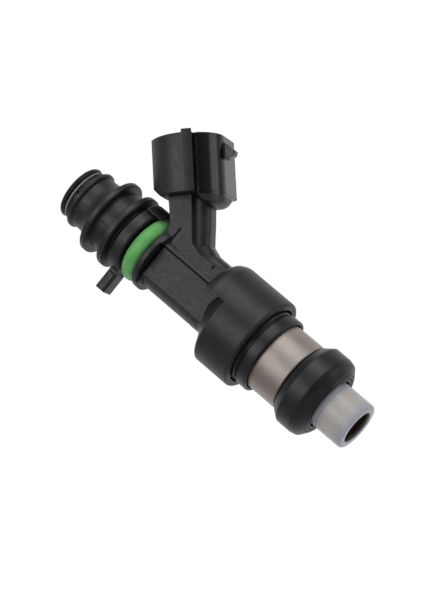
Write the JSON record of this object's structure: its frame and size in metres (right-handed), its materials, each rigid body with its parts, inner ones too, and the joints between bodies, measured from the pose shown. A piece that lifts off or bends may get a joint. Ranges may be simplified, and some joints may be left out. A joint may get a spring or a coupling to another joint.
{
  "type": "fuel injector",
  "caption": "Top-feed port fuel injector: black moulded body with a slanted two-pin plug socket, ribbed inlet end, green O-ring, bare steel sleeve, fat lower seal and a translucent nozzle cap.",
  "frame": {"origin": "on the injector's axis, in the plane of the nozzle cap's tip", "axes": "+Z along the injector from the nozzle to the inlet; the connector leans towards +X in the plane y = 0; -Y is the side with the flat"},
  "size_m": [0.0373, 0.0194, 0.072],
  "materials": {
    "moulding": "black glass-filled nylon, satin",
    "black_rubber": "black rubber, slightly oily",
    "green_rubber": "light green rubber",
    "cap_plastic": "translucent grey plastic",
    "steel": "turned stainless steel",
    "copper": "enamelled copper wire",
    "tinned": "tin plate on brass",
    "brass": "turned brass",
    "nylon": "natural nylon"
  },
  "bodies": {
    "injector": {"housing": "moulding", "locating_collar": "moulding", "ribbed_sleeve": "moulding", "lower_seal": "black_rubber", "dust_ring": "black_rubber", "inlet_seal": "black_rubber", "green_o_ring": "green_rubber", "nozzle_cap": "cap_plastic", "valve_body": "steel", "fuel_tube": "steel", "seal_washer": "steel", "flux_washer": "steel", "spacer_ring": "steel", "coil_case": "steel", "pole_piece": "steel", "return_spring": "steel", "valve_guide": "steel", "valve_seat": "steel", "orifice_plate": "copper", "coil_winding": "copper", "terminal_front": "tinned", "terminal_rear": "tinned", "filter_gauze": "tinned", "spring_adjuster": "tinned", "filter_ring": "brass", "filter_cage": "nylon", "bobbin": "nylon", "split_ring": "nylon"},
    "needle": {"armature": "steel", "needle_tube": "steel", "valve_ball": "steel"}
  },
  "joints": [
    {"name": "needle_lift", "type": "slide", "parent": "injector", "child": "needle", "axis": [0, 0, 1], "range_m": [0, 0.00008], "stiffness_N_per_m": 2000, "deforming": ["return_spring"]}
  ]
}
